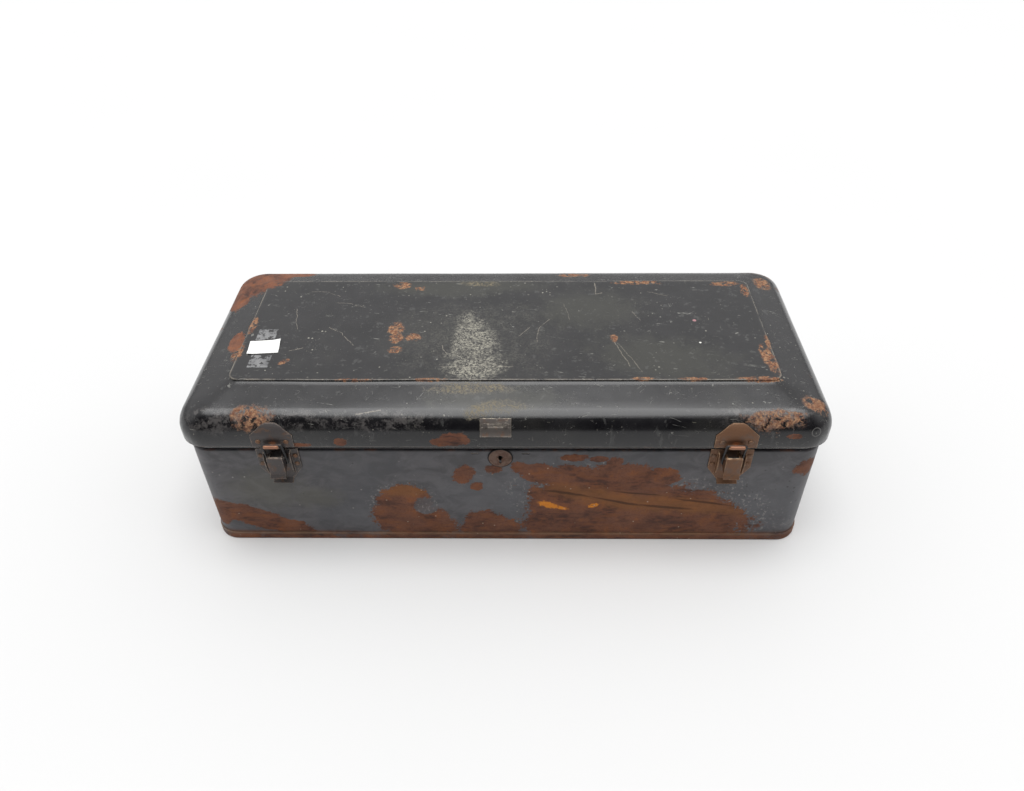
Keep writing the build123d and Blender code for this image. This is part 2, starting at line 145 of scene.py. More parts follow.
class Bench:
    """Short ways to add and wire shader nodes in one tree."""

    def __init__(self, tree):
        self.tree = tree

    def add(self, kind, **settings):
        made = self.tree.nodes.new(kind)
        for name, value in settings.items():
            setattr(made, name, value)
        return made

    def feed(self, socket, value):
        if isinstance(value, bpy.types.NodeSocket):
            self.tree.links.new(value, socket)
        else:
            socket.default_value = value

    def fill(self, node, **values):
        """Feeds a node's inputs by name, with _ for a space."""
        for name, value in values.items():
            self.feed(node.inputs[name.replace("_", " ")], value)

    def math(self, operation, first, second=0.0, third=0.0, clamp=False):
        made = self.add("ShaderNodeMath", operation=operation, use_clamp=clamp)
        for socket, value in zip(made.inputs, (first, second, third)):
            self.feed(socket, value)
        return made.outputs[0]

    def times(self, first, second):
        return self.math("MULTIPLY", first, second)

    def plus(self, first, second):
        return self.math("ADD", first, second)

    def less(self, first, second, clamp=False):
        return self.math("SUBTRACT", first, second, clamp=clamp)

    def vector(self, operation, first, second=(0.0, 0.0, 0.0)):
        made = self.add("ShaderNodeVectorMath", operation=operation)
        self.feed(made.inputs[0], first)
        self.feed(made.inputs[1], second)
        scalar = operation in ("LENGTH", "DISTANCE", "DOT_PRODUCT")
        return made.outputs["Value" if scalar else "Vector"]

    def scaled(self, place, factors):
        return self.vector("MULTIPLY", place, factors)

    def noise(self, place, scale, detail=4.0, roughness=0.55, distortion=0.0):
        made = self.add("ShaderNodeTexNoise")
        self.fill(made, Vector=place, Scale=scale, Detail=detail, Roughness=roughness,
                  Distortion=distortion)
        return made.outputs["Fac"]

    def cells(self, place, scale):
        made = self.add("ShaderNodeTexVoronoi")
        self.fill(made, Vector=place, Scale=scale)
        return made.outputs["Distance"], made.outputs["Color"]

    def ramp(self, value, low, high):
        """Smoothly 0 below low and 1 above high; low may be the larger."""
        made = self.add("ShaderNodeMapRange", interpolation_type="SMOOTHSTEP")
        self.fill(made, Value=value, From_Min=low, From_Max=high)
        return made.outputs["Result"]

    def blend(self, factor, under, over):
        made = self.add("ShaderNodeMix", data_type="RGBA")
        self.feed(made.inputs[0], factor)
        self.feed(made.inputs[6], under)
        self.feed(made.inputs[7], over)
        return made.outputs[2]

    def coat(self, under, mask, amount, over):
        """Lays one colour over another through a mask, at most as strongly as the amount."""
        return self.blend(self.times(mask, amount), under, over)

    def blots(self, place, low, high, scale, *shape):
        """Soft-edged blots: 1 where a noise is above high and 0 where it is below low."""
        return self.ramp(self.noise(place, scale, *shape), low, high)

    def between(self, factor, under, over):
        made = self.add("ShaderNodeMix", data_type="FLOAT")
        self.feed(made.inputs[0], factor)
        self.feed(made.inputs[2], under)
        self.feed(made.inputs[3], over)
        return made.outputs[0]

    def apart(self, place):
        made = self.add("ShaderNodeSeparateXYZ")
        self.feed(made.inputs[0], place)
        return made.outputs

    def joined(self, x, y, z):
        made = self.add("ShaderNodeCombineXYZ")
        for socket, value in zip(made.inputs, (x, y, z)):
            self.feed(socket, value)
        return made.outputs[0]

    def widest(self, masks):
        found = masks[0]
        for mask in masks[1:]:
            found = self.math("MAXIMUM", found, mask)
        return found

    def group(self, tree, **values):
        made = self.add("ShaderNodeGroup", node_tree=tree)
        self.fill(made, **values)
        return made.outputs


def new_group(name, inputs, outputs):
    """An empty node group with named sockets; returns the group, its bench and its inputs."""
    tree = bpy.data.node_groups.new(name, "ShaderNodeTree")
    for label, kind, value in inputs:
        socket = tree.interface.new_socket(name=label, in_out="INPUT", socket_type="NodeSocket" + kind)
        if value is not None:
            socket.default_value = value
    for label, kind in outputs:
        tree.interface.new_socket(name=label, in_out="OUTPUT", socket_type="NodeSocket" + kind)
    bench = Bench(tree)
    given = bench.add("NodeGroupInput").outputs
    result = bench.add("NodeGroupOutput").inputs
    return tree, bench, given, result


def grey(level):
    return (level, level, level, 1.0)


def paint(red, green, blue):
    """A colour given as it looks, 0 to 255 a channel, turned to linear light."""
    def linear(level):
        share = level / 255
        return share / 12.92 if share <= 0.04045 else ((share + 0.055) / 1.055) ** 2.4
    return (linear(red), linear(green), linear(blue), 1.0)


# ---------------------------------------------------------------- shared effects

def build_patch():
    """A ragged spot on a face: an ellipse about a centre, turned about the face's normal."""
    tree, b, given, result = new_group(
        "ragged_patch",
        [("Place", "Vector", None), ("Centre", "Vector", None), ("Reach", "Vector", (0.01, 0.01, 0.01)),
         ("Normal", "Vector", (0.0, 0.0, 1.0)), ("Turn", "Float", 0.0), ("Ragged", "Float", 0.5),
         ("Soft", "Float", 0.08)],
        [("Mask", "Float")])
    offset = b.vector("SUBTRACT", given["Place"], given["Centre"])
    turned = b.add("ShaderNodeVectorRotate", rotation_type="AXIS_ANGLE")
    b.fill(turned, Vector=offset, Axis=given["Normal"], Angle=given["Turn"])
    distance = b.vector("LENGTH", b.vector("DIVIDE", turned.outputs[0], given["Reach"]))
    coarse = b.noise(given["Place"], 60.0, 6.0, 0.62, 0.3)
    fine = b.noise(given["Place"], 330.0, 5.0, 0.75)
    wander = b.plus(b.times(b.less(coarse, 0.5), 3.2), b.times(b.less(fine, 0.5), 2.4))
    edge = b.math("MULTIPLY_ADD", wander, given["Ragged"], distance)
    b.feed(result["Mask"], b.ramp(edge, b.plus(1.0, given["Soft"]), b.less(1.0, given["Soft"])))
    return tree


def build_rust():
    """Dry brown rust: a mottled colour with orange bloom, its roughness and its grain."""
    tree, b, given, result = new_group(
        "rust", [("Place", "Vector", None), ("Bloom", "Float", 0.3), ("Depth", "Float", 0.5)],
        [("Color", "Color"), ("Roughness", "Float"), ("Grain", "Float")])
    broad = b.noise(given["Place"], 38.0, 5.0, 0.6)
    streaky = b.noise(b.scaled(given["Place"], (1.0, 1.0, 2.6)), 90.0, 6.0, 0.68, 0.6)
    fine = b.noise(given["Place"], 700.0, 5.0, 0.75)
    dark = b.blend(b.ramp(streaky, 0.36, 0.62), paint(60, 38, 31), paint(106, 64, 45))
    brown = b.blend(b.ramp(broad, 0.35, 0.68), dark, paint(114, 74, 55))
    bloom = b.times(b.blots(given["Place"], 0.5, 0.72, 75.0, 5.0, 0.65), given["Bloom"])
    orange = b.blend(bloom, brown, paint(140, 80, 36))
    speckled = b.coat(orange, b.ramp(fine, 0.5, 0.66), 0.55, paint(64, 40, 32))
    b.feed(result["Color"], speckled)
    b.feed(result["Roughness"], b.between(fine, 0.72, 0.96))
    grain = b.plus(b.times(fine, 0.4), b.times(streaky, 0.6))
    b.feed(result["Grain"], b.times(grain, given["Depth"]))
    return tree


def build_scratches():
    """Fine light scratches: thin contour lines of a stretched noise, broken up."""
    tree, b, given, result = new_group(
        "scratches",
        [("Place", "Vector", None), ("Turn", "Float", 0.0), ("Stretch", "Float", 9.0),
         ("Scale", "Float", 60.0), ("Width", "Float", 0.006), ("Amount", "Float", 0.5)],
        [("Mask", "Float")])
    turned = b.add("ShaderNodeVectorRotate", rotation_type="Z_AXIS")
    b.fill(turned, Vector=given["Place"], Angle=given["Turn"])
    drawn = b.vector("DIVIDE", turned.outputs[0], b.joined(given["Stretch"], 1.0, 1.0))
    level = b.noise(drawn, given["Scale"], 1.5, 0.5, 0.15)
    band = b.math("ABSOLUTE", b.less(level, 0.5))
    line = b.ramp(band, given["Width"], 0.0)
    broken = b.noise(turned.outputs[0], 95.0, 3.0, 0.6)
    kept = b.ramp(broken, b.less(0.78, b.times(given["Amount"], 0.5)),
                  b.less(0.86, b.times(given["Amount"], 0.5)))
    b.feed(result["Mask"], b.times(line, kept))
    return tree


def build_specks():
    """Small round specks scattered at random, some cells left empty."""
    tree, b, given, result = new_group(
        "specks",
        [("Place", "Vector", None), ("Scale", "Float", 300.0), ("Size", "Float", 0.2),
         ("Share", "Float", 0.3)],
        [("Mask", "Float")])
    distance, colour = b.cells(given["Place"], given["Scale"])
    channels = b.add("ShaderNodeSeparateColor")
    b.feed(channels.inputs[0], colour)
    picked = b.math("LESS_THAN", channels.outputs[0], given["Share"])
    size = b.times(given["Size"], b.plus(0.4, channels.outputs[1]))
    dot = b.ramp(distance, size, b.times(size, 0.6))
    b.feed(result["Mask"], b.times(dot, picked))
    return tree


def build_outline():
    """Signed distance from a rounded rectangle in plan, negative inside."""
    tree, b, given, result = new_group(
        "rounded_outline",
        [("Place", "Vector", None), ("Half length", "Float", 0.1), ("Half width", "Float", 0.1),
         ("Corner", "Float", 0.01)],
        [("Distance", "Float")])
    x, y, _ = b.apart(given["Place"])
    over_x = b.less(b.math("ABSOLUTE", x), b.less(given["Half length"], given["Corner"]))
    over_y = b.less(b.math("ABSOLUTE", y), b.less(given["Half width"], given["Corner"]))
    outside = b.vector("LENGTH", b.joined(b.math("MAXIMUM", over_x, 0.0), b.math("MAXIMUM", over_y, 0.0),
                                          0.0))
    inside = b.math("MINIMUM", b.math("MAXIMUM", over_x, over_y), 0.0)
    b.feed(result["Distance"], b.less(b.plus(outside, inside), given["Corner"]))
    return tree


def build_stroke():
    """A single scratch drawn from one point to another on the top, a little wavering and broken."""
    tree, b, given, result = new_group(
        "stroke",
        [("Place", "Vector", None), ("Start", "Vector", None), ("End", "Vector", None),
         ("Width", "Float", 0.0004)],
        [("Mask", "Float")])
    waver = b.times(b.less(b.noise(given["Place"], 60.0, 3.0, 0.6), 0.5), 0.006)
    place = b.vector("ADD", given["Place"], b.joined(waver, waver, 0.0))
    flat = b.vector("MULTIPLY", b.vector("SUBTRACT", place, given["Start"]), (1.0, 1.0, 0.0))
    run = b.vector("SUBTRACT", given["End"], given["Start"])
    share = b.math("DIVIDE", b.vector("DOT_PRODUCT", flat, run), b.vector("DOT_PRODUCT", run, run),
                   clamp=True)
    scaled = b.add("ShaderNodeVectorMath", operation="SCALE")
    b.feed(scaled.inputs[0], run)
    b.feed(scaled.inputs["Scale"], share)
    distance = b.vector("DISTANCE", flat, scaled.outputs[0])
    line = b.ramp(distance, given["Width"], b.times(given["Width"], 0.4))
    broken = b.blots(given["Place"], 0.36, 0.5, 300.0, 3.0, 0.7)
    b.feed(result["Mask"], b.times(line, broken))
    return tree


def build_edge_wear():
    """Bright rubbed edges, found where a rounded normal leaves the face's own normal."""
    tree, b, given, result = new_group(
        "edge_wear", [("Place", "Vector", None), ("Reach", "Float", 0.0006), ("Amount", "Float", 1.0)],
        [("Mask", "Float")])
    rounded = b.add("ShaderNodeBevel", samples=4)
    b.feed(rounded.inputs["Radius"], given["Reach"])
    face = b.add("ShaderNodeNewGeometry")
    agree = b.vector("DOT_PRODUCT", rounded.outputs[0], face.outputs["Normal"])
    turn = b.ramp(agree, 0.995, 0.86)
    broken = b.blots(given["Place"], 0.34, 0.62, 260.0, 4.0, 0.65)
    b.feed(result["Mask"], b.times(b.times(turn, broken), given["Amount"]))
    return tree


PATCH = build_patch()
RUST = build_rust()
SCRATCHES = build_scratches()
SPECKS = build_specks()
OUTLINE = build_outline()
STROKE = build_stroke()
EDGE_WEAR = build_edge_wear()

UPWARD = (0.0, 0.0, 1.0)
FORWARD = (0.0, -1.0, 0.0)


def new_material(name):
    """A material with its bench, its Principled shader's inputs and the object coordinates."""
    made = bpy.data.materials.new(name)
    made.use_nodes = True
    made.node_tree.nodes.clear()
    b = Bench(made.node_tree)
    shader = b.add("ShaderNodeBsdfPrincipled")
    output = b.add("ShaderNodeOutputMaterial")
    b.feed(output.inputs["Surface"], shader.outputs[0])
    place = b.add("ShaderNodeTexCoord").outputs["Object"]
    return made, b, shader.inputs, place


def bump(b, height, strength, distance):
    made = b.add("ShaderNodeBump")
    b.fill(made, Strength=strength, Distance=distance, Height=height)
    return made.outputs[0]


def specks(b, place, scale, size, share):
    return b.group(SPECKS, Place=place, Scale=scale, Size=size, Share=share)["Mask"]


def scratched(b, place, turn, stretch, scale, width, amount):
    """Scratches along one direction, its turn in degrees."""
    return b.group(SCRATCHES, Place=place, Turn=radians(turn), Stretch=stretch, Scale=scale,
                   Width=width, Amount=amount)["Mask"]


def front_patches(b, place, spots, ragged=0.5, soft=0.08):
    """Spots on the front wall, each (x, z, reach along, reach up, turn in degrees), in mm."""
    masks = []
    for x, z, along, up, turn in spots:
        masks.append(b.group(PATCH, Place=place, Centre=(x * MM, -body_half_width, z * MM),
                             Reach=(along * MM, 0.03, up * MM), Normal=FORWARD, Turn=radians(turn),
                             Ragged=ragged, Soft=soft)["Mask"])
    return b.widest(masks)


def top_patches(b, place, spots, ragged=0.5, soft=0.08):
    """Spots on the lid, each (x, y, z, reach along, reach across, turn in degrees), in mm."""
    masks = []
    for x, y, z, along, across, turn in spots:
        masks.append(b.group(PATCH, Place=place, Centre=(x * MM, y * MM, z * MM),
                             Reach=(along * MM, across * MM, 0.02), Normal=UPWARD,
                             Turn=radians(turn), Ragged=ragged, Soft=soft)["Mask"])
    return b.widest(masks)


# single scratches on the lid, each (x, y) to (x, y) and its width, in mm
lid_strokes = (
    ((-178, -1), (-164, -11), 0.7), ((-164, -11), (-149, -31), 0.7), ((-209, 63), (-190, 62), 0.6),
    ((-190, 62), (-177, 54), 0.6), ((-180, 42), (-165, 42), 0.6), ((-165, 42), (-147, 34), 0.6),
    ((-211, -41), (-197, -35), 0.8), ((-218, 31), (-210, -5), 0.6), ((-61, -32), (-57, -46), 1.0),
    ((-61, -65), (9, -65), 0.6), ((108, -27), (119, -65), 1.1), ((111, -29), (130, -73), 0.8),
    ((31, -27), (34, -2), 0.7), ((34, -2), (45, 13), 0.7), ((95, 80), (95, 59), 1.1),
    ((95, 59), (102, 61), 1.1), ((14, -16), (24, -2), 0.7), ((130, 25), (138, 11), 0.7),
    ((-134, -119), (-112, -116), 1.2), ((60, 40), (66, 12), 0.6), ((150, 62), (171, 55), 0.6))


# ---------------------------------------------------------------- finishes

def lid_finish():
    """Old gloss black paint: fine scratches, specks, pale residue, tape remains and rust, with painted shade
    under the skirt, a painted highlight along the skirt's rim and painted highlight mixed with wear on the
    roll.
    """
    made, b, shader, place = new_material("lid_paint")
    _, y, z = b.apart(place)
    broad = b.noise(place, 9.0, 4.0, 0.6, 0.4)
    cloudy = b.noise(place, 34.0, 5.0, 0.65, 0.5)
    fine = b.noise(place, 900.0, 3.0, 0.6)
    colour = b.blend(b.ramp(cloudy, 0.32, 0.7), paint(12, 11, 14), paint(25, 24, 26))
    colour = b.coat(colour, b.ramp(broad, 0.5, 0.68), 0.4, paint(46, 45, 42))

    panel_edge = b.group(OUTLINE, Place=place, Half_length=panel_half_length,
                         Half_width=panel_half_width, Corner=panel_corner)["Distance"]
    on_top = b.ramp(z, lid_top - 10 * MM, lid_top - 3 * MM)
    in_panel = b.ramp(panel_edge, 1.0 * MM, -6.0 * MM)

    hairs = b.widest([
        scratched(b, place, turn, stretch, scale, width, amount)
        for turn, stretch, scale, width, amount in (
            (12, 14.0, 150.0, 0.010, 0.42), (-31, 10.0, 120.0, 0.009, 0.36),
            (74, 12.0, 110.0, 0.009, 0.30), (-68, 7.0, 210.0, 0.012, 0.28))])
    colour = b.coat(colour, hairs, 0.6, paint(134, 133, 127))
    crumbs = b.times(specks(b, place, 260.0, 0.24, 0.22), b.blots(place, 0.48, 0.64, 22.0, 4.0, 0.7))
    colour = b.coat(colour, crumbs, 0.75, paint(150, 147, 136))
    grains = b.times(specks(b, place, 620.0, 0.3, 0.3),
                     b.blots(b.scaled(place, (0.7, 1.0, 1.0)), 0.52, 0.68, 40.0, 5.0, 0.75))
    colour = b.coat(colour, grains, 0.6, paint(120, 118, 104))

    strokes = b.widest([
        b.group(STROKE, Place=place, Start=(*(Vector(start) * MM), 0.0), End=(*(Vector(end) * MM), 0.0),
                Width=0.6 * width * MM)["Mask"] for start, end, width in lid_strokes])
    colour = b.coat(colour, strokes, 0.6, paint(138, 130, 118))

    greenish = top_patches(b, place, ((-26, 75, 180, 60, 14, 0), (-55, 70, 180, 70, 14, 0),
                                      (150, -50, 180, 60, 30, 10), (85, 30, 180, 50, 30, 0),
                                      (-5, -105, 172, 55, 14, 0)), 0.5, 0.5)
    colour = b.coat(colour, greenish, 0.3, paint(66, 66, 56))

    powder = b.times(b.blots(place, 0.45, 0.57, 480.0, 8.0, 0.85),
                     b.between(b.blots(place, 0.4, 0.58, 75.0, 5.0, 0.7, 0.6), 0.35, 1.0))
    residue = b.times(top_patches(b, place, (
        (-30, -38, 180, 23, 36, 4), (-29, -68, 180, 27, 15, 0), (-36, -12, 180, 14, 34, 0),
        (-20, -48, 180, 15, 12, 0)), 0.42, 0.3), powder)
    colour = b.coat(colour, residue, 0.85, paint(172, 168, 154))
    film = b.times(top_patches(b, place, ((-28, -25, 180, 70, 62, 0),), 0.5, 0.5), powder)
    colour = b.coat(colour, film, 0.3, paint(104, 102, 92))
    cream = b.times(b.widest([
        top_patches(b, place, ((-32, -92, 177, 36, 6, 0), (-30, 78, 180, 20, 5, 0)), 0.5, 0.25),
        top_patches(b, place, ((-2, -112, 172, 20, 7, 0), (-25, -116, 170, 10, 6, 0)), 0.6, 0.3)]),
                    powder)
    colour = b.coat(colour, cream, 0.6, paint(146, 134, 108))

    tape = b.widest([
        b.ramp(b.group(OUTLINE, Place=b.vector("SUBTRACT", place, (cx * MM, cy * MM, 0.0)),
                       Half_length=along * MM, Half_width=across * MM, Corner=0.5 * MM)["Distance"],
               0.3 * MM, -0.3 * MM)
        for cx, cy, along, across in ((-238.5, -14, 9.5, 9), (-235.5, -57, 10, 9.5))])
    tape = b.times(tape, b.blots(place, 0.43, 0.5, 110.0, 4.0, 0.7))
    tape = b.times(tape, b.ramp(z, lid_top - 1.0 * MM, lid_top - 0.4 * MM))
    colour = b.coat(colour, tape, 0.8, b.blend(b.ramp(cloudy, 0.4, 0.6),
                                               paint(98, 98, 100), paint(132, 132, 133)))

    border = b.times(b.ramp(b.math("ABSOLUTE", b.plus(panel_edge, 0.6 * MM)),
                            1.4 * MM, 0.2 * MM), b.ramp(z, lid_top - 1.2 * MM, lid_top - 0.4 * MM))
    border = b.times(border, b.blots(place, 0.36, 0.6, 60.0, 6.0, 0.75))
    colour = b.coat(colour, border, 0.5, paint(140, 132, 120))

    rust_spots = top_patches(b, place, (
        (-272, 92, 168, 32, 34, 38), (-243, 113, 168, 26, 10, 0), (-288, 62, 168, 12, 20, 0),
        (-268, -20, 175, 8, 18, -6)), 0.3, 0.1)
    flaking = b.blots(place, 0.42, 0.52, 150.0, 6.0, 0.75, 0.5)
    flaky = b.widest([
        top_patches(b, place, (
            (-261, -42, 177, 6, 14, 0), (-257, 2, 178, 4, 14, 0), (-230, -119, 168, 17, 9, 0),
            (73, 108, 174, 18, 4.5, 0), (-113, 76, 180, 9, 6, 0), (-93, 69, 180, 6, 4, 0),
            (-110, -4, 180, 8, 9, 0), (-108, -20, 180, 7, 8, -20), (-91, -18, 180, 8, 6, 0),
            (-107, -38, 180, 6, 5, 0), (-212, -58, 180, 6, 3, -40), (108, -20, 180, 4, 6, 0)), 0.5, 0.2),
        top_patches(b, place, (
            (254, -56, 179, 6, 24, -8), (240, -83, 179, 24, 2.6, 0), (258, -26, 179, 3, 12, 0),
            (236, 78, 180, 16, 4, 0), (254, 66, 180, 4, 12, 0), (140, 80, 180, 22, 4, 0),
            (246, -122, 166, 26, 7, 0), (284, -108, 168, 12, 8, 20), (-68, -84, 180, 14, 1.8, 0),
            (-140, -84, 180, 16, 1.6, 0), (130, -83, 180, 10, 2.0, 0), (178, -83, 180, 12, 2.2, 0),
            (280, 88, 172, 9, 12, 20)), 0.5, 0.2)])
    flaky = b.times(flaky, flaking)
    colour = b.coat(colour, flaky, 0.85, b.blend(b.blots(place, 0.44, 0.58, 420.0, 5.0, 0.8),
                                                 paint(104, 62, 42), paint(158, 120, 88)))
    ring_reach = b.vector("DISTANCE", place, (284 * MM, -128 * MM, 154 * MM))
    ring = b.ramp(b.math("ABSOLUTE", b.less(ring_reach, 4.2 * MM)), 0.7 * MM, 0.2 * MM)
    colour = b.coat(colour, ring, 0.6, paint(104, 102, 100))
    for dot_place, dot_size, dot_colour in (((192, 10), 2.2, paint(150, 106, 110)),
                                            ((192, -27), 1.4, paint(214, 212, 206))):
        reach = b.vector("DISTANCE", place, (*(Vector(dot_place) * MM), lid_top))
        colour = b.blend(b.ramp(reach, dot_size * MM, dot_size * 0.7 * MM), colour, dot_colour)
    skirt_rust = b.widest([
        b.group(PATCH, Place=place, Centre=(cx * MM, -half_width, cz * MM),
                Reach=(along * MM, 0.02, up * MM), Normal=FORWARD, Ragged=0.35)["Mask"]
        for cx, cz, along, up in ((-45, 146, 15, 7), (-58, 143, 10, 5), (-150, 143, 6, 5),
                                  (-190, 139, 12, 2.5), (265, 150, 8, 3))])
    hem_line = b.times(b.ramp(z, skirt_low + 1.6 * MM, skirt_low - 0.4 * MM),
                       b.blots(place, 0.54, 0.66, 45.0, 5.0, 0.7))
    unseen = b.times(b.blots(place, 0.6, 0.63, 19.0, 5.0, 0.65, 0.6),
                     b.times(b.ramp(z, lid_top - 9 * MM, lid_top - 14 * MM), b.ramp(y, -0.1, -0.06)))
    rust_mask = b.widest([rust_spots, skirt_rust, unseen, b.times(hem_line, 0.8)])
    rust = b.group(RUST, Place=place, Bloom=0.45, Depth=1.0)
    colour = b.blend(rust_mask, colour, rust["Color"])

    # pale patches along the front roll: partly worn paint, partly a painted highlight where the roll catches
    # the overhead light
    worn = b.times(b.times(top_patches(b, place, (
        (-268, -121, 166, 26, 9, 0), (-190, -122, 166, 40, 7, 0), (-110, -123, 166, 50, 6, 0),
        (230, -121, 167, 34, 8, 0), (265, -119, 167, 16, 7, 0)), 0.4, 0.4),
                           b.blots(place, 0.46, 0.6, 120.0, 5.0, 0.75)), 0.4)
    colour = b.blend(worn, colour, paint(110, 106, 104))
    streak = b.times(b.blots(b.scaled(place, (1.0, 1.0, 0.2)), 0.6, 0.7, 150.0, 3.0, 0.6), 0.25)
    colour = b.blend(streak, colour, paint(92, 92, 90))
    # painted shade: the hem below the skirt is coloured near black for the shade in the gap between the lid's
    # hem and the body's shoulder
    painted_hem_shade = b.ramp(z, skirt_low, skirt_low - 0.8 * MM)
    colour = b.coat(colour, painted_hem_shade, 0.9, paint(12, 11, 11))
    # painted highlight: a pale line along the skirt's lower edge, broken by the cloudy noise, stands in for
    # light caught by the crease
    painted_rim_highlight = b.ramp(b.math("ABSOLUTE", b.less(z, skirt_low + 0.5 * MM)), 0.7 * MM, 0.1 * MM)
    painted_rim_highlight = b.times(painted_rim_highlight, b.ramp(cloudy, 0.3, 0.6))
    colour = b.coat(colour, painted_rim_highlight, 0.5, paint(120, 112, 106))
    b.feed(shader["Base Color"], colour)

    pitted = b.widest([rust_mask, flaky, residue, cream])
    gloss = b.between(cloudy, 0.16, 0.3)
    gloss = b.between(b.times(in_panel, on_top), gloss, b.between(broad, 0.3, 0.46))
    gloss = b.between(b.times(hairs, 0.6), gloss, 0.6)
    gloss = b.between(tape, gloss, 0.42)
    b.feed(shader["Roughness"], b.between(pitted, gloss, 0.88))
    lift = b.plus(b.times(cloudy, 0.25), b.times(fine, 0.05))
    lift = b.less(lift, b.times(hairs, 0.12))
    lift = b.plus(lift, b.times(residue, 0.25))
    lift = b.plus(lift, b.times(rust_mask, b.less(rust["Grain"], 0.2)))
    b.feed(shader["Normal"], bump(b, lift, 0.5, 0.35 * MM))
    return made


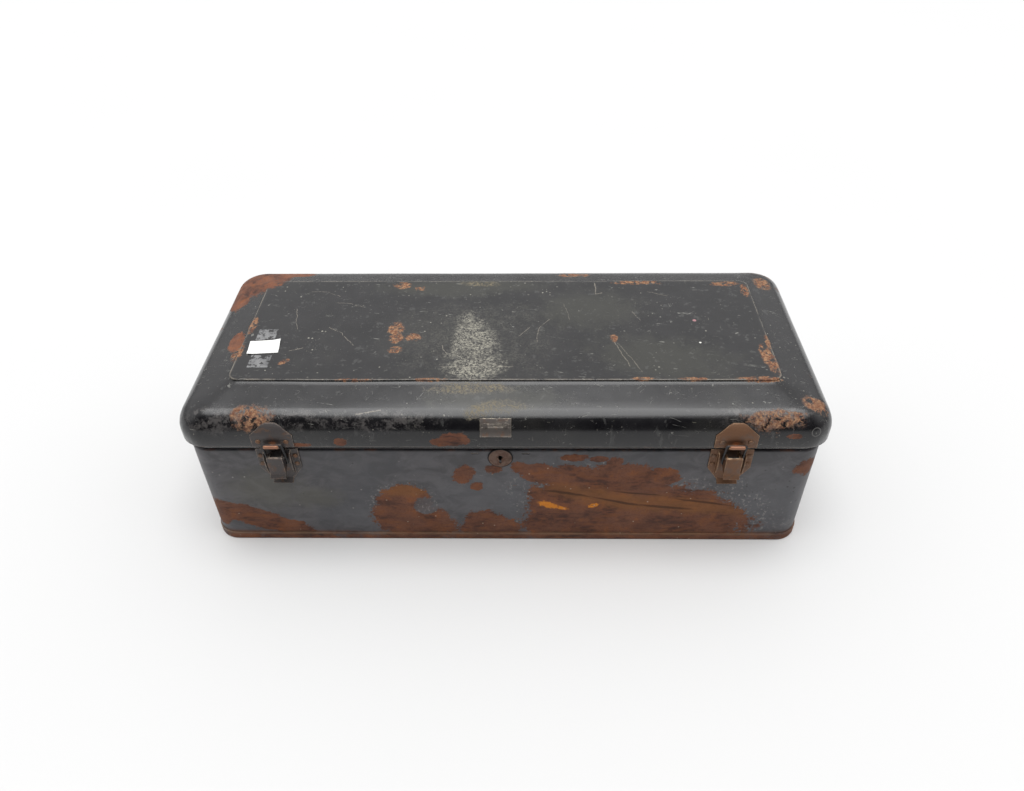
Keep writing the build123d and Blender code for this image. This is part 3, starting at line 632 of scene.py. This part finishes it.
def body_finish():
    """Grey-black paint on the body, smudged and pitted, with broad rust near the foot."""
    made, b, shader, place = new_material("body_paint")
    x, y, z = b.apart(place)
    broad = b.noise(place, 11.0, 4.0, 0.6, 0.8)
    smudge = b.noise(b.scaled(place, (1.0, 1.0, 1.5)), 42.0, 5.0, 0.62, 0.7)
    fine = b.noise(place, 800.0, 3.0, 0.6)
    colour = b.blend(b.ramp(smudge, 0.34, 0.66), paint(58, 56, 59), paint(82, 80, 83))
    colour = b.coat(colour, b.ramp(broad, 0.46, 0.68), 0.5, paint(62, 63, 68))
    olive = front_patches(b, place, ((-235, 72, 34, 26, 0), (-190, 62, 24, 14, 0)), 0.5, 0.6)
    colour = b.coat(colour, olive, 0.45, paint(84, 82, 70))
    pale = front_patches(b, place, ((-10, 60, 50, 34, 0), (250, 60, 40, 34, 0), (-130, 34, 40, 14, 0)),
                         0.5, 0.6)
    colour = b.coat(colour, pale, 0.35, paint(92, 93, 97))

    pits = b.times(specks(b, place, 150.0, 0.26, 0.4),
                   b.times(b.ramp(x, 0.17, 0.26), b.blots(place, 0.36, 0.55, 50.0, 4.0, 0.6)))
    pits = b.math("MAXIMUM", pits, b.times(specks(b, place, 110.0, 0.2, 0.16), b.ramp(broad, 0.4, 0.6)))
    colour = b.coat(colour, pits, 0.8, paint(44, 40, 42))
    hairs = b.widest([
        scratched(b, b.joined(x, z, y), turn, stretch, scale, width, amount)
        for turn, stretch, scale, width, amount in (
            (8, 12.0, 110.0, 0.008, 0.30), (-52, 9.0, 130.0, 0.009, 0.28), (63, 10.0, 90.0, 0.008, 0.22))])
    colour = b.coat(colour, hairs, 0.45, paint(134, 134, 134))
    crumbs = b.times(specks(b, place, 170.0, 0.16, 0.14), b.blots(place, 0.46, 0.6, 26.0, 4.0, 0.7))
    colour = b.coat(colour, crumbs, 0.7, paint(150, 146, 140))

    main = front_patches(b, place, (
        (100, 62, 76, 38, 4), (165, 42, 78, 40, 14), (60, 28, 46, 34, 0), (130, 20, 112, 26, 0),
        (192, 22, 44, 34, 30), (33, 98, 18, 13, 0), (62, 92, 34, 16, 0), (110, 92, 42, 18, -4),
        (150, 92, 20, 13, 0)), 0.36, 0.07)
    rounded = front_patches(b, place, ((-100, 55, 26, 25, 0), (-88, 22, 40, 26, 0), (-110, 34, 26, 22, 0)),
                            0.3, 0.07)
    bare = front_patches(b, place, ((-80, 49, 12, 12, 0),), 0.3, 0.1)
    rounded = b.times(rounded, b.less(1.0, b.times(bare, 0.85)))
    corner = front_patches(b, place, ((-268, 38, 40, 13, 16), (-236, 22, 44, 12, 18),
                                      (-292, 36, 16, 16, 0)), 0.34, 0.07)
    lesser = front_patches(b, place, (
        (-20, 20, 24, 22, 0), (-2, 14, 18, 18, 0), (-39, 95, 9, 13, 20), (-27, 79, 6, 5, 0),
        (-10, 102, 8, 6, 0), (287, 104, 12, 10, 0), (66, 118, 14, 5, 0), (90, 116, 9, 3.5, 0),
        (106, 112, 9, 6, 0), (16, 105, 9, 8, 0)), 0.55, 0.1)
    foot = b.times(b.ramp(z, 15 * MM, 5 * MM), b.blots(place, 0.3, 0.48, 26.0, 5.0, 0.65))
    brim = b.times(b.ramp(z, shoulder - 2.5 * MM, shoulder), b.blots(place, 0.5, 0.62, 55.0, 5.0, 0.7))
    sides = b.times(b.blots(place, 0.585, 0.62, 17.0, 5.0, 0.62, 0.6),
                    b.ramp(b.math("MAXIMUM", y, b.less(b.math("ABSOLUTE", x), body_half_length - 0.004)),
                           -0.002, 0.003))
    rust_mask = b.widest([main, rounded, corner, lesser, foot, b.times(brim, 0.7), sides])
    halo = b.times(b.less(front_patches(b, place, ((-104, 52, 34, 33, 0), (100, 60, 96, 48, 4),
                                                   (190, 40, 84, 50, 16)), 0.27, 0.16), rust_mask,
                          clamp=True), b.blots(place, 0.54, 0.62, 240.0, 5.0, 0.75))
    colour = b.coat(colour, halo, 0.55, paint(150, 146, 142))
    rust = b.group(RUST, Place=place, Bloom=0.5, Depth=1.0)
    along = b.noise(b.scaled(place, (0.35, 1.0, 1.6)), 70.0, 5.0, 0.65, 0.8)
    grain_colour = b.coat(rust["Color"], b.ramp(along, 0.48, 0.66), 0.45, paint(122, 72, 38))
    grain_colour = b.coat(grain_colour, b.ramp(along, 0.46, 0.34), 0.45, paint(62, 40, 34))
    colour = b.blend(rust_mask, colour, grain_colour)
    ochre = front_patches(b, place, ((100, 62, 60, 12, 14), (180, 52, 52, 10, 10), (-100, 72, 22, 8, 0)),
                          0.4, 0.5)
    colour = b.coat(colour, b.times(ochre, rust_mask), 0.5, paint(136, 88, 44))
    crease = front_patches(b, place, (
        (62, 67, 22, 1.7, 12), (112, 56, 24, 1.8, 13), (158, 49, 26, 1.7, 6), (128, 69, 26, 1.2, 9),
        (195, 56, 30, 1.4, 10)), 0.3, 0.35)
    colour = b.coat(colour, crease, 0.75, paint(58, 34, 16))
    yellow = front_patches(b, place, ((44, 52, 8, 3.6, 14), (55, 48, 7, 2.4, 10), (89, 50, 5, 2.6, -20)),
                           0.8, 0.2)
    yellow = b.times(yellow, b.blots(place, 0.36, 0.48, 260.0, 6.0, 0.8))
    colour = b.coat(colour, yellow, 0.95, paint(206, 126, 34))
    flecks = b.times(specks(b, place, 170.0, 0.13, 0.16), rust_mask)
    colour = b.coat(colour, flecks, 0.8, paint(170, 146, 124))
    foot_line = b.times(b.ramp(z, 11.0 * MM, 8.4 * MM), b.ramp(z, 6.0 * MM, 8.2 * MM))
    foot_line = b.times(foot_line, b.ramp(smudge, 0.3, 0.55))
    colour = b.coat(colour, foot_line, 0.5, paint(116, 94, 72))
    b.feed(shader["Base Color"], colour)

    gloss = b.between(smudge, 0.34, 0.52)
    b.feed(shader["Roughness"], b.between(rust_mask, gloss, 0.9))
    lift = b.plus(b.times(smudge, 0.2), b.times(fine, 0.04))
    lift = b.less(lift, b.times(b.math("MAXIMUM", pits, hairs), 0.2))
    lift = b.plus(lift, b.times(rust_mask, b.plus(rust["Grain"], b.times(along, 0.6))))
    b.feed(shader["Normal"], bump(b, lift, 0.55, 0.45 * MM))
    return made


def steel_finish(name, dull, brown, bright, browning=0.5, rough=0.48, rubbed=(), scuff=0.35, ring=None):
    """Aged steel: dull grey going brown, rubbed bright at the edges; rubbed spots turn coppery; an optional
    ring is painted near black as shade.
    """
    made, b, shader, place = new_material(name)
    mottle = b.noise(place, 120.0, 5.0, 0.65, 0.4)
    fine = b.noise(place, 1100.0, 4.0, 0.7)
    edges = b.group(EDGE_WEAR, Place=place, Reach=1.0 * MM, Amount=1.0)["Mask"]
    tint = b.ramp(mottle, 0.72 - browning * 0.5, 0.86 - browning * 0.5)
    colour = b.blend(tint, dull, brown)
    colour = b.coat(colour, b.ramp(fine, 0.52, 0.7), 0.4, grey(0.012))
    hairs = scratched(b, place, 20, 6.0, 340.0, 0.02, 0.4)
    colour = b.blend(b.times(hairs, scuff), colour, bright)
    colour = b.blend(edges, colour, bright)
    if rubbed:
        spots = b.widest([
            b.group(PATCH, Place=place, Centre=centre, Reach=reach, Normal=FORWARD, Ragged=0.16,
                    Soft=0.2)["Mask"] for centre, reach in rubbed])
        colour = b.blend(spots, colour, paint(186, 128, 92))
        edges = b.math("MAXIMUM", edges, spots)
    if ring:
        # painted shade: a near-black ring stands in for the shade in the gap round the lock face, and no
        # rubbed edge shows there
        centre, reach = ring
        out = b.vector("LENGTH", b.scaled(b.vector("SUBTRACT", place, centre), (1.0, 0.0, 1.0)))
        painted_groove_shade = b.ramp(out, reach - 1.3 * MM, reach - 0.8 * MM)
        colour = b.blend(painted_groove_shade, colour, grey(0.004))
        edges = b.times(edges, b.less(1.0, painted_groove_shade))
    b.feed(shader["Base Color"], colour)
    b.feed(shader["Metallic"], b.between(edges, 0.35, 0.85))
    b.feed(shader["Roughness"], b.between(edges, b.between(mottle, rough - 0.08, rough + 0.2), 0.34))
    lift = b.plus(b.times(mottle, 0.6), b.times(fine, 0.3))
    b.feed(shader["Normal"], bump(b, lift, 0.5, 0.12 * MM))
    return made


def inside_finish():
    """The sheet's inner side: thin dull black paint, oil stains and scattered freckles of rust."""
    made, b, shader, place = new_material("inside_paint")
    _, _, z = b.apart(place)
    broad = b.noise(place, 8.0, 5.0, 0.62, 0.8)
    stain = b.noise(place, 30.0, 6.0, 0.68, 0.6)
    fine = b.noise(place, 600.0, 4.0, 0.7)
    colour = b.blend(b.ramp(stain, 0.35, 0.68), paint(30, 29, 30), paint(52, 48, 45))
    colour = b.coat(colour, b.ramp(broad, 0.5, 0.66), 0.5, paint(64, 50, 40))
    freckles = specks(b, place, 130.0, 0.3, 0.35)
    low_down = b.ramp(z, 40 * MM, 2 * MM)
    spread = b.plus(b.times(low_down, 0.12), broad)
    patches = b.ramp(b.plus(spread, b.times(b.less(stain, 0.5), 0.5)), 0.62, 0.68)
    rust_mask = b.math("MAXIMUM", patches, b.times(freckles, b.ramp(spread, 0.46, 0.6)))
    rust = b.group(RUST, Place=place, Bloom=0.25, Depth=1.0)
    colour = b.coat(colour, rust_mask, 0.9, rust["Color"])
    hairs = scratched(b, place, 25, 10.0, 120.0, 0.009, 0.35)
    colour = b.coat(colour, hairs, 0.4, paint(110, 104, 98))
    b.feed(shader["Base Color"], colour)
    b.feed(shader["Roughness"], b.between(rust_mask, b.between(stain, 0.42, 0.62), 0.9))
    lift = b.plus(b.times(stain, 0.3), b.times(fine, 0.1))
    lift = b.plus(lift, b.times(rust_mask, rust["Grain"]))
    b.feed(shader["Normal"], bump(b, lift, 0.5, 0.35 * MM))
    return made


def ticket_finish():
    """A plain paper ticket, faintly fibrous and a little soiled."""
    made, b, shader, place = new_material("ticket_paper")
    fibre = b.noise(b.scaled(place, (1.0, 2.5, 1.0)), 900.0, 5.0, 0.7)
    soil = b.noise(place, 140.0, 4.0, 0.6)
    colour = b.coat(paint(222, 222, 220), b.ramp(soil, 0.5, 0.75), 0.35, paint(200, 196, 188))
    b.feed(shader["Base Color"], colour)
    b.feed(shader["Roughness"], b.between(fibre, 0.6, 0.8))
    b.feed(shader["Normal"], bump(b, fibre, 0.3, 0.05 * MM))
    return made


def floor_finish():
    """A plain pale studio floor."""
    made, b, shader, place = new_material("studio_floor")
    drift = b.noise(place, 2.0, 2.0, 0.5)
    b.feed(shader["Base Color"], b.blend(drift, grey(0.59), grey(0.61)))
    b.feed(shader["Roughness"], b.between(drift, 0.85, 0.95))
    return made


# ---------------------------------------------------------------- modelling helpers

def block(name, low, high):
    """A cuboid between two corners: the start of a piece, left in edit mode."""
    if bpy.context.object and bpy.context.object.mode == "EDIT":
        bpy.ops.object.mode_set(mode="OBJECT")
    bpy.ops.object.select_all(action="DESELECT")
    low, high = Vector(low), Vector(high)
    bpy.ops.mesh.primitive_cube_add(size=1.0, location=(low + high) / 2, scale=high - low)
    piece = bpy.context.object
    piece.name = piece.data.name = name
    bpy.ops.object.transform_apply(location=True, rotation=True, scale=True)
    bpy.ops.object.mode_set(mode="EDIT")
    return piece


def pick(piece, kind, test):
    """In edit mode, selects the vertices, edges or faces that pass the test, and nothing else."""
    bpy.ops.mesh.select_mode(type=kind)
    bpy.ops.mesh.select_all(action="DESELECT")
    mesh = bmesh.from_edit_mesh(piece.data)
    found = {"VERT": mesh.verts, "EDGE": mesh.edges, "FACE": mesh.faces}[kind]
    for element in found:
        if test(element):
            element.select_set(True)
    mesh.select_flush_mode()
    bmesh.update_edit_mesh(piece.data)


def near(value, target, reach=0.0001):
    return abs(value - target) < reach


def level(edge, height):
    """True of an edge that lies at one height."""
    return all(near(corner.co.z, height) for corner in edge.verts)


def upright(edge):
    first, second = edge.verts
    return near(first.co.x, second.co.x) and near(first.co.y, second.co.y)


def facing(face, axis, side):
    return face.normal[axis] * side > 0.9


def round_corners(piece, radius):
    """Rounds the upright corners of a block."""
    pick(piece, "EDGE", upright)
    bpy.ops.mesh.bevel(offset=radius, segments=8, profile=0.5, affect="EDGES")


def slice_up(axis, low, high, step):
    """Cuts the whole mesh by evenly spaced planes, so that it can take a gentle shape."""
    count = int((high - low) / step)
    normal = [0.0, 0.0, 0.0]
    normal[axis] = 1.0
    for index in range(1, count):
        point = [0.0, 0.0, 0.0]
        point[axis] = low + (high - low) * index / count
        bpy.ops.mesh.select_all(action="SELECT")
        bpy.ops.mesh.bisect(plane_co=point, plane_no=normal)


def push(piece, centre, move, reach, radius=None):
    """Moves the sheet near a place, fading smoothly out to the reach."""
    middle = Vector(centre)
    near_by = radius or reach * 0.25
    pick(piece, "VERT", lambda corner: (corner.co - middle).length < near_by)
    bpy.ops.transform.translate(value=move, use_proportional_edit=True, proportional_size=reach,
                                proportional_edit_falloff="SMOOTH")


def modifier(piece, kind, **settings):
    """Adds a modifier with its settings and applies it."""
    bpy.ops.object.mode_set(mode="OBJECT")
    made = piece.modifiers.new(kind.lower(), kind)
    for name, value in settings.items():
        setattr(made, name, value)
    bpy.context.view_layer.objects.active = piece
    bpy.ops.object.modifier_apply(modifier=made.name)


def waves(piece, size, strength):
    """Ripples the sheet gently, as old pressed steel is never quite flat."""
    texture = bpy.data.textures.new(piece.name + "_waves", "CLOUDS")
    texture.noise_scale = size
    texture.noise_depth = 1
    modifier(piece, "DISPLACE", texture=texture, strength=strength, mid_level=0.5,
             texture_coords="LOCAL")


def close_up(piece, material=None):
    """Ends a piece: doubles merged, normals outwards, smooth shading and its finish, if it has none."""
    bpy.ops.object.mode_set(mode="OBJECT")
    bpy.ops.object.select_all(action="DESELECT")
    piece.select_set(True)
    bpy.context.view_layer.objects.active = piece
    bpy.ops.object.mode_set(mode="EDIT")
    bpy.ops.mesh.select_all(action="SELECT")
    bpy.ops.mesh.remove_doubles(threshold=merge_reach)
    bpy.ops.mesh.normals_make_consistent(inside=False)
    bpy.ops.object.mode_set(mode="OBJECT")
    bpy.ops.object.shade_smooth_by_angle(angle=radians(35))
    if material:
        piece.data.materials.clear()
        piece.data.materials.append(material)
    piece.select_set(False)


def place_in_frame(piece, body, slot, *stands_for):
    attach(piece, body)
    if stands_for:
        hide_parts(*stands_for)


def thicken(piece, sheet, outside, inside):
    """Merges and orients an open sheet, then gives it its thickness and a finish on each side."""
    piece.data.materials.append(outside)
    piece.data.materials.append(inside)
    bpy.ops.mesh.select_all(action="SELECT")
    bpy.ops.mesh.remove_doubles(threshold=merge_reach)
    bpy.ops.mesh.normals_make_consistent(inside=False)
    modifier(piece, "SOLIDIFY", thickness=sheet, offset=-1.0, use_even_offset=True, material_offset=1)


# ---------------------------------------------------------------- the pressed sheet

def make_lid(material, lining):
    """The lid: raised panel, sloping border, big edge roll, skirt and a curled hem."""
    panel = block("lid_panel", (-panel_half_length, -panel_half_width, panel_base),
                  (panel_half_length, panel_half_width, lid_top))
    round_corners(panel, panel_corner)
    pick(panel, "FACE", lambda face: facing(face, 2, -1))
    bpy.ops.mesh.delete(type="FACE")
    bpy.ops.object.mode_set(mode="OBJECT")

    lid = block("lid_cover", (-half_length, -half_width, skirt_low), (half_length, half_width, slope_low))
    round_corners(lid, lid_corner)
    pick(lid, "FACE", lambda face: facing(face, 2, 1) or facing(face, 2, -1))
    bpy.ops.mesh.delete(type="FACE")
    bpy.ops.object.mode_set(mode="OBJECT")
    panel.select_set(True)
    lid.select_set(True)
    bpy.ops.object.join()
    bpy.ops.object.mode_set(mode="EDIT")

    pick(lid, "EDGE", lambda edge: level(edge, slope_low) or level(edge, panel_base))
    bpy.ops.mesh.bridge_edge_loops()
    pick(lid, "EDGE", lambda edge: level(edge, slope_low))
    bpy.ops.mesh.bevel(offset=slope_low - roll_start, segments=14, profile=0.5, affect="EDGES")
    pick(lid, "EDGE", lambda edge: level(edge, lid_top))
    bpy.ops.mesh.bevel(offset=panel_rise * 0.45, segments=3, profile=0.5, affect="EDGES")
    pick(lid, "EDGE", lambda edge: level(edge, panel_base))
    bpy.ops.mesh.bevel(offset=panel_rise * 0.4, segments=3, profile=0.5, affect="EDGES")

    slice_up(0, -half_length, half_length, sheet_grid)
    slice_up(1, -half_width, half_width, sheet_grid)

    pick(lid, "EDGE", lambda edge: level(edge, skirt_low))
    for inwards, down in hem_curl:
        bpy.ops.mesh.extrude_region_move(TRANSFORM_OT_translate={"value": (0, 0, -down * MM)})
        bpy.ops.transform.resize(value=(1 - inwards * MM / half_length, 1 - inwards * MM / half_width, 1),
                                 center_override=(0, 0, 0))

    # dents in the panel, each (x, y, depth, reach), then on the roll (x, y, z, back, down, reach), in mm
    for x, y, deep, reach in ((-150, -60, 0.5, 70), (60, 20, 0.7, 90), (180, -40, 0.4, 60)):
        push(lid, (x * MM, y * MM, lid_top), (0, 0, -deep * MM), reach * MM)
    for x, y, z, back, down, reach in ((-30, -112, 170, 0.3, 0.5, 40), (232, -120, 168, 0.4, 0.4, 30),
                                       (-250, -118, 168, 0.4, 0.5, 30)):
        push(lid, (x * MM, y * MM, z * MM), (0, back * MM, -down * MM), reach * MM)
    waves(lid, 0.09, 0.5 * MM)
    bpy.ops.object.mode_set(mode="EDIT")
    thicken(lid, lid_sheet, material, lining)
    close_up(lid)
    place_in_frame(lid, "lid", "lid_paint", "lid_shell")


def make_body(material, lining):
    """The body wall: rounded corners, a rounded shoulder and the upstand inside the lid."""
    body = block("body_wall", (-body_half_length, -body_half_width, body_low.z),
                 (body_half_length, body_half_width, shoulder))
    round_corners(body, body_corner)
    pick(body, "FACE", lambda face: facing(face, 2, -1))
    bpy.ops.mesh.delete(type="FACE")
    pick(body, "EDGE", lambda edge: level(edge, shoulder))
    bpy.ops.mesh.bevel(offset=shoulder_round, segments=4, profile=0.5, affect="EDGES")
    pick(body, "FACE", lambda face: facing(face, 2, 1))
    bpy.ops.mesh.inset(thickness=neck_inset - shoulder_round, depth=0.0)
    bpy.ops.mesh.extrude_region_move(TRANSFORM_OT_translate={"value": (0, 0, body_mouth - shoulder)})
    bpy.ops.mesh.delete(type="FACE")
    slice_up(0, -body_half_length, body_half_length, sheet_grid)
    slice_up(1, -body_half_width, body_half_width, sheet_grid)
    slice_up(2, body_low.z, shoulder - shoulder_round, sheet_grid)

    wall = -body_half_width
    pick(body, "FACE", lambda face: facing(face, 1, -1) and face.calc_center_median().y < wall + 0.001
         and 20 * MM < face.calc_center_median().x < 230 * MM
         and 26 * MM < face.calc_center_median().z < 90 * MM)
    bpy.ops.mesh.subdivide(number_cuts=2)
    # a long crease in the front wall, then broad dents and bulges, each (x, z, depth, reach), in mm
    for x, z, deep, reach in ((44, 71, 1.0, 12), (56, 68, 1.3, 13), (68, 65, 1.5, 13), (80, 61, 1.4, 12),
                              (94, 55, 1.2, 13), (108, 48, 1.3, 13), (122, 42, 1.2, 13), (136, 38, 0.8, 12),
                              (134, 60, 0.8, 12), (150, 63, 1.0, 12), (168, 66, 0.8, 12),
                              (186, 60, 0.6, 13), (204, 57, 0.6, 13)):
        push(body, (x * MM, wall, z * MM), (0, deep * MM, 0), reach * MM, 3.2 * MM)
    for x, z, deep, reach in ((60, 52, -0.5, 20), (120, 72, -0.6, 22), (175, 42, -0.4, 24),
                              (-100, 40, -0.4, 40), (-230, 70, 0.8, 60), (250, 70, 0.6, 50)):
        push(body, (x * MM, wall, z * MM), (0, deep * MM, 0), reach * MM)
    waves(body, 0.1, 0.5 * MM)
    bpy.ops.object.mode_set(mode="EDIT")
    thicken(body, body_sheet, material, lining)
    for name, x, z, half_x, half_z in (
            ("slot_left", lock_x - slot_offset, slot_z, 3.4 * MM, 0.8 * MM),
            ("slot_right", lock_x + slot_offset, slot_z, 3.4 * MM, 0.8 * MM),
            ("keyway", lock_x, keyhole_z, 5.0 * MM, 5.0 * MM)):
        cutter = block(name, (x - half_x, wall - 0.01, z - half_z), (x + half_x, wall + 0.01, z + half_z))
        bpy.ops.object.mode_set(mode="OBJECT")
        modifier(body, "BOOLEAN", object=cutter, operation="DIFFERENCE", solver="EXACT")
        bpy.data.objects.remove(cutter)
    close_up(body)
    place_in_frame(body, "box", "body_paint", "body_shell")


# ---------------------------------------------------------------- fittings

def soften(name, material, slot, bevel, segments=2):
    """A fitting whose drawn edges are rounded over and rubbed, in place of its plain node."""
    if bpy.context.object and bpy.context.object.mode == "EDIT":
        bpy.ops.object.mode_set(mode="OBJECT")
    bpy.ops.object.select_all(action="DESELECT")
    node = nodes[name]
    piece = bpy.data.objects.new(name + "_finished", node.data.copy())
    bpy.context.scene.collection.objects.link(piece)
    bpy.context.view_layer.objects.active = piece
    piece.select_set(True)
    bpy.ops.object.mode_set(mode="EDIT")
    bpy.ops.mesh.select_all(action="SELECT")
    bpy.ops.mesh.remove_doubles(threshold=0.000002)
    bpy.ops.mesh.dissolve_limited(angle_limit=radians(4), delimit=set())
    bpy.ops.mesh.normals_make_consistent(inside=False)
    if bevel:
        modifier(piece, "BEVEL", width=bevel, segments=segments, limit_method="ANGLE",
                 angle_limit=radians(40), use_clamp_overlap=True, miter_outer="MITER_ARC")
    close_up(piece, material)
    place_in_frame(piece, body_of(node)[0], slot, name)


def make_hook_bead(side, material):
    """The rolled lip of a keeper's hook, a smooth pebble rubbed to bare copper colour."""
    middle = side * latch_x
    bead = block("hook_bead_left" if side < 0 else "hook_bead_right",
                 (middle - bead_half, bead_front, bead_bottom), (middle + bead_half, bead_back, bead_top))
    bpy.ops.mesh.select_all(action="SELECT")
    bpy.ops.mesh.bevel(offset=bead_round, segments=4, profile=0.5, affect="EDGES")
    modifier(bead, "SUBSURF", levels=1, render_levels=1)
    close_up(bead, material)
    place_in_frame(bead, "lid", "worn_fittings")


def make_ticket(material):
    """A plain paper ticket stuck near the panel's left end, curling up at two opposite corners."""
    left, right = ticket_x - ticket_half_x, ticket_x + ticket_half_x
    front, back = ticket_y - ticket_half_y, ticket_y + ticket_half_y
    ticket = block("paper_ticket", (left, front, ticket_low), (right, back, ticket_low + ticket_sheet))
    slice_up(0, left, right, ticket_grid)
    slice_up(1, front, back, ticket_grid)
    bpy.ops.mesh.select_all(action="SELECT")
    bpy.ops.transform.rotate(value=ticket_turn, orient_axis="Z",
                             center_override=(ticket_x, ticket_y, ticket_low))
    push(ticket, (right, back, ticket_low), (0, 0, 1.2 * MM), 0.009)
    push(ticket, (left, front, ticket_low), (0, 0, 0.7 * MM), 0.007)
    close_up(ticket, material)
    place_in_frame(ticket, "lid", "lid_paint")


# ---------------------------------------------------------------- the whole object

lid_paint = lid_finish()
body_paint = body_finish()
hook_rub = [((side * latch_x, -136.6 * MM, 142.6 * MM), (6.5 * MM, 0.006, 3.4 * MM)) for side in (-1, 1)]
worn_grey = steel_finish("worn_steel_grey", paint(72, 67, 66), paint(92, 72, 60), paint(176, 158, 142),
                         0.4, 0.46, hook_rub)
worn_brown = steel_finish("worn_steel_brown", paint(98, 76, 62), paint(108, 76, 54), paint(188, 158, 126),
                          0.7, 0.5, hook_rub)
black_steel = steel_finish("black_fittings", paint(40, 40, 42), paint(74, 54, 44), paint(150, 140, 130), 0.3)
# the lock face's ring is painted near black as the shade of the gap round it
lock_steel = steel_finish("lock_steel", paint(106, 84, 72), paint(90, 64, 52), paint(140, 116, 98), 0.5, 0.6,
                          ring=((lock_x, 0.0, 118 * MM), 12 * MM))
tab_steel = steel_finish("tab_steel", paint(78, 72, 68), paint(92, 68, 54), paint(176, 166, 150), 0.4, 0.55,
                         scuff=0.8)
plain_steel = steel_finish("plain_steel", paint(120, 114, 108), paint(98, 74, 58), paint(190, 184, 174),
                           0.35, 0.4)
paper = ticket_finish()
lining = inside_finish()

make_lid(lid_paint, lining)
make_body(body_paint, lining)
soften("base_band", body_paint, "body_paint", 1.1 * MM, segments=3)
make_ticket(paper)

copper = steel_finish("rubbed_hook", paint(150, 104, 78), paint(128, 88, 66), paint(206, 156, 118), 0.4, 0.36)
for side in (-1, 1):
    make_hook_bead(side, copper)

for side, worn in (("left", worn_grey), ("right", worn_brown)):
    for part, bevel in (("keeper", 0.32), ("latch_base", 0.3), ("latch_lever", 0.35)):
        soften(f"{part}_{side}", worn, "worn_fittings", bevel * MM)
    soften(f"latch_pin_{side}", plain_steel, "plain_steel", 0.2 * MM)
    soften(f"latch_bail_{side}", black_steel, "plain_steel", 0.0)
    for part in ("hinge_body_leaf", "hinge_lid_leaf"):
        soften(f"{part}_{side}", black_steel, "black_fittings", 0.3 * MM)
    soften(f"hinge_pin_{side}", black_steel, "black_fittings", 0.2 * MM)
for name in ("keeper_rivets", "latch_base_rivets"):
    soften(name, worn_brown, "worn_fittings", 0.25 * MM)
soften("lift_tab_rivets", tab_steel, "worn_fittings", 0.25 * MM)
for name in ("hinge_lid_rivets", "hinge_body_rivets"):
    soften(name, black_steel, "black_fittings", 0.25 * MM)
soften("lid_lift_tab", tab_steel, "worn_fittings", 0.35 * MM)
soften("lock_face", lock_steel, "worn_fittings", 0.3 * MM)
soften("floor_plate", lining, "body_paint", 0.3 * MM)
for name in ("lock_case", "lock_barrel", "lock_bolt", "lid_strike"):
    soften(name, plain_steel, "plain_steel", 0.2 * MM)

# ---------------------------------------------------------------- the studio

bpy.ops.object.select_all(action="DESELECT")
bpy.ops.mesh.primitive_grid_add(x_subdivisions=8, y_subdivisions=8, size=30.0, location=(0, 8, 0))
floor = bpy.context.object
floor.name = "studio_floor"
bpy.ops.object.transform_apply(location=True, rotation=True, scale=True)
floor.data.materials.append(floor_finish())

overhead = bpy.data.lights.new("overhead", "SUN")
overhead.energy = overhead_strength
overhead.angle = overhead_spread
overhead_lamp = bpy.data.objects.new("overhead", overhead)
bpy.context.scene.collection.objects.link(overhead_lamp)
overhead_lamp.rotation_euler = overhead_towards.to_track_quat("-Z", "Y").to_euler()

# A bright room behind and beside the object, a dark one in front; the camera itself sees plain white.
world = bpy.data.worlds.new("studio")
world.use_nodes = True
bpy.context.scene.world = world
room = Bench(world.node_tree)
background = world.node_tree.nodes["Background"]
towards = room.apart(room.add("ShaderNodeTexCoord").outputs["Generated"])
lit_side = room.ramp(room.plus(towards[1], room.times(room.math("ABSOLUTE", towards[0]), 0.6)), -0.25, 0.35)
high_up = room.ramp(towards[2], -0.05, 0.55)
room_light = room.between(lit_side, front_light, room.between(high_up, low_light, high_light))
seen_directly = room.add("ShaderNodeLightPath").outputs["Is Camera Ray"]
room.feed(background.inputs["Strength"], room.between(seen_directly, room_light, camera_white))
background.inputs["Color"].default_value = (1.0, 1.0, 1.0, 1.0)
bpy.context.scene.view_settings.view_transform = "Standard"

camera_data = bpy.data.cameras.new("camera")
camera = bpy.data.objects.new("camera", camera_data)
bpy.context.scene.collection.objects.link(camera)
bpy.context.scene.camera = camera
camera_data.sensor_width = 36.0
camera_data.lens = camera_lens
camera_data.clip_start = 0.02
camera_data.clip_end = 100.0
ahead = Vector((sin(yaw) * cos(pitch), cos(yaw) * cos(pitch), -sin(pitch)))
level_right = Vector((cos(yaw), -sin(yaw), 0.0))
level_up = level_right.cross(ahead)
right = level_right * cos(lean) + level_up * sin(lean)
up = level_up * cos(lean) - level_right * sin(lean)
turn = Matrix((right, up, -ahead)).transposed().to_4x4()
camera.matrix_world = Matrix.Translation(camera_place) @ turn
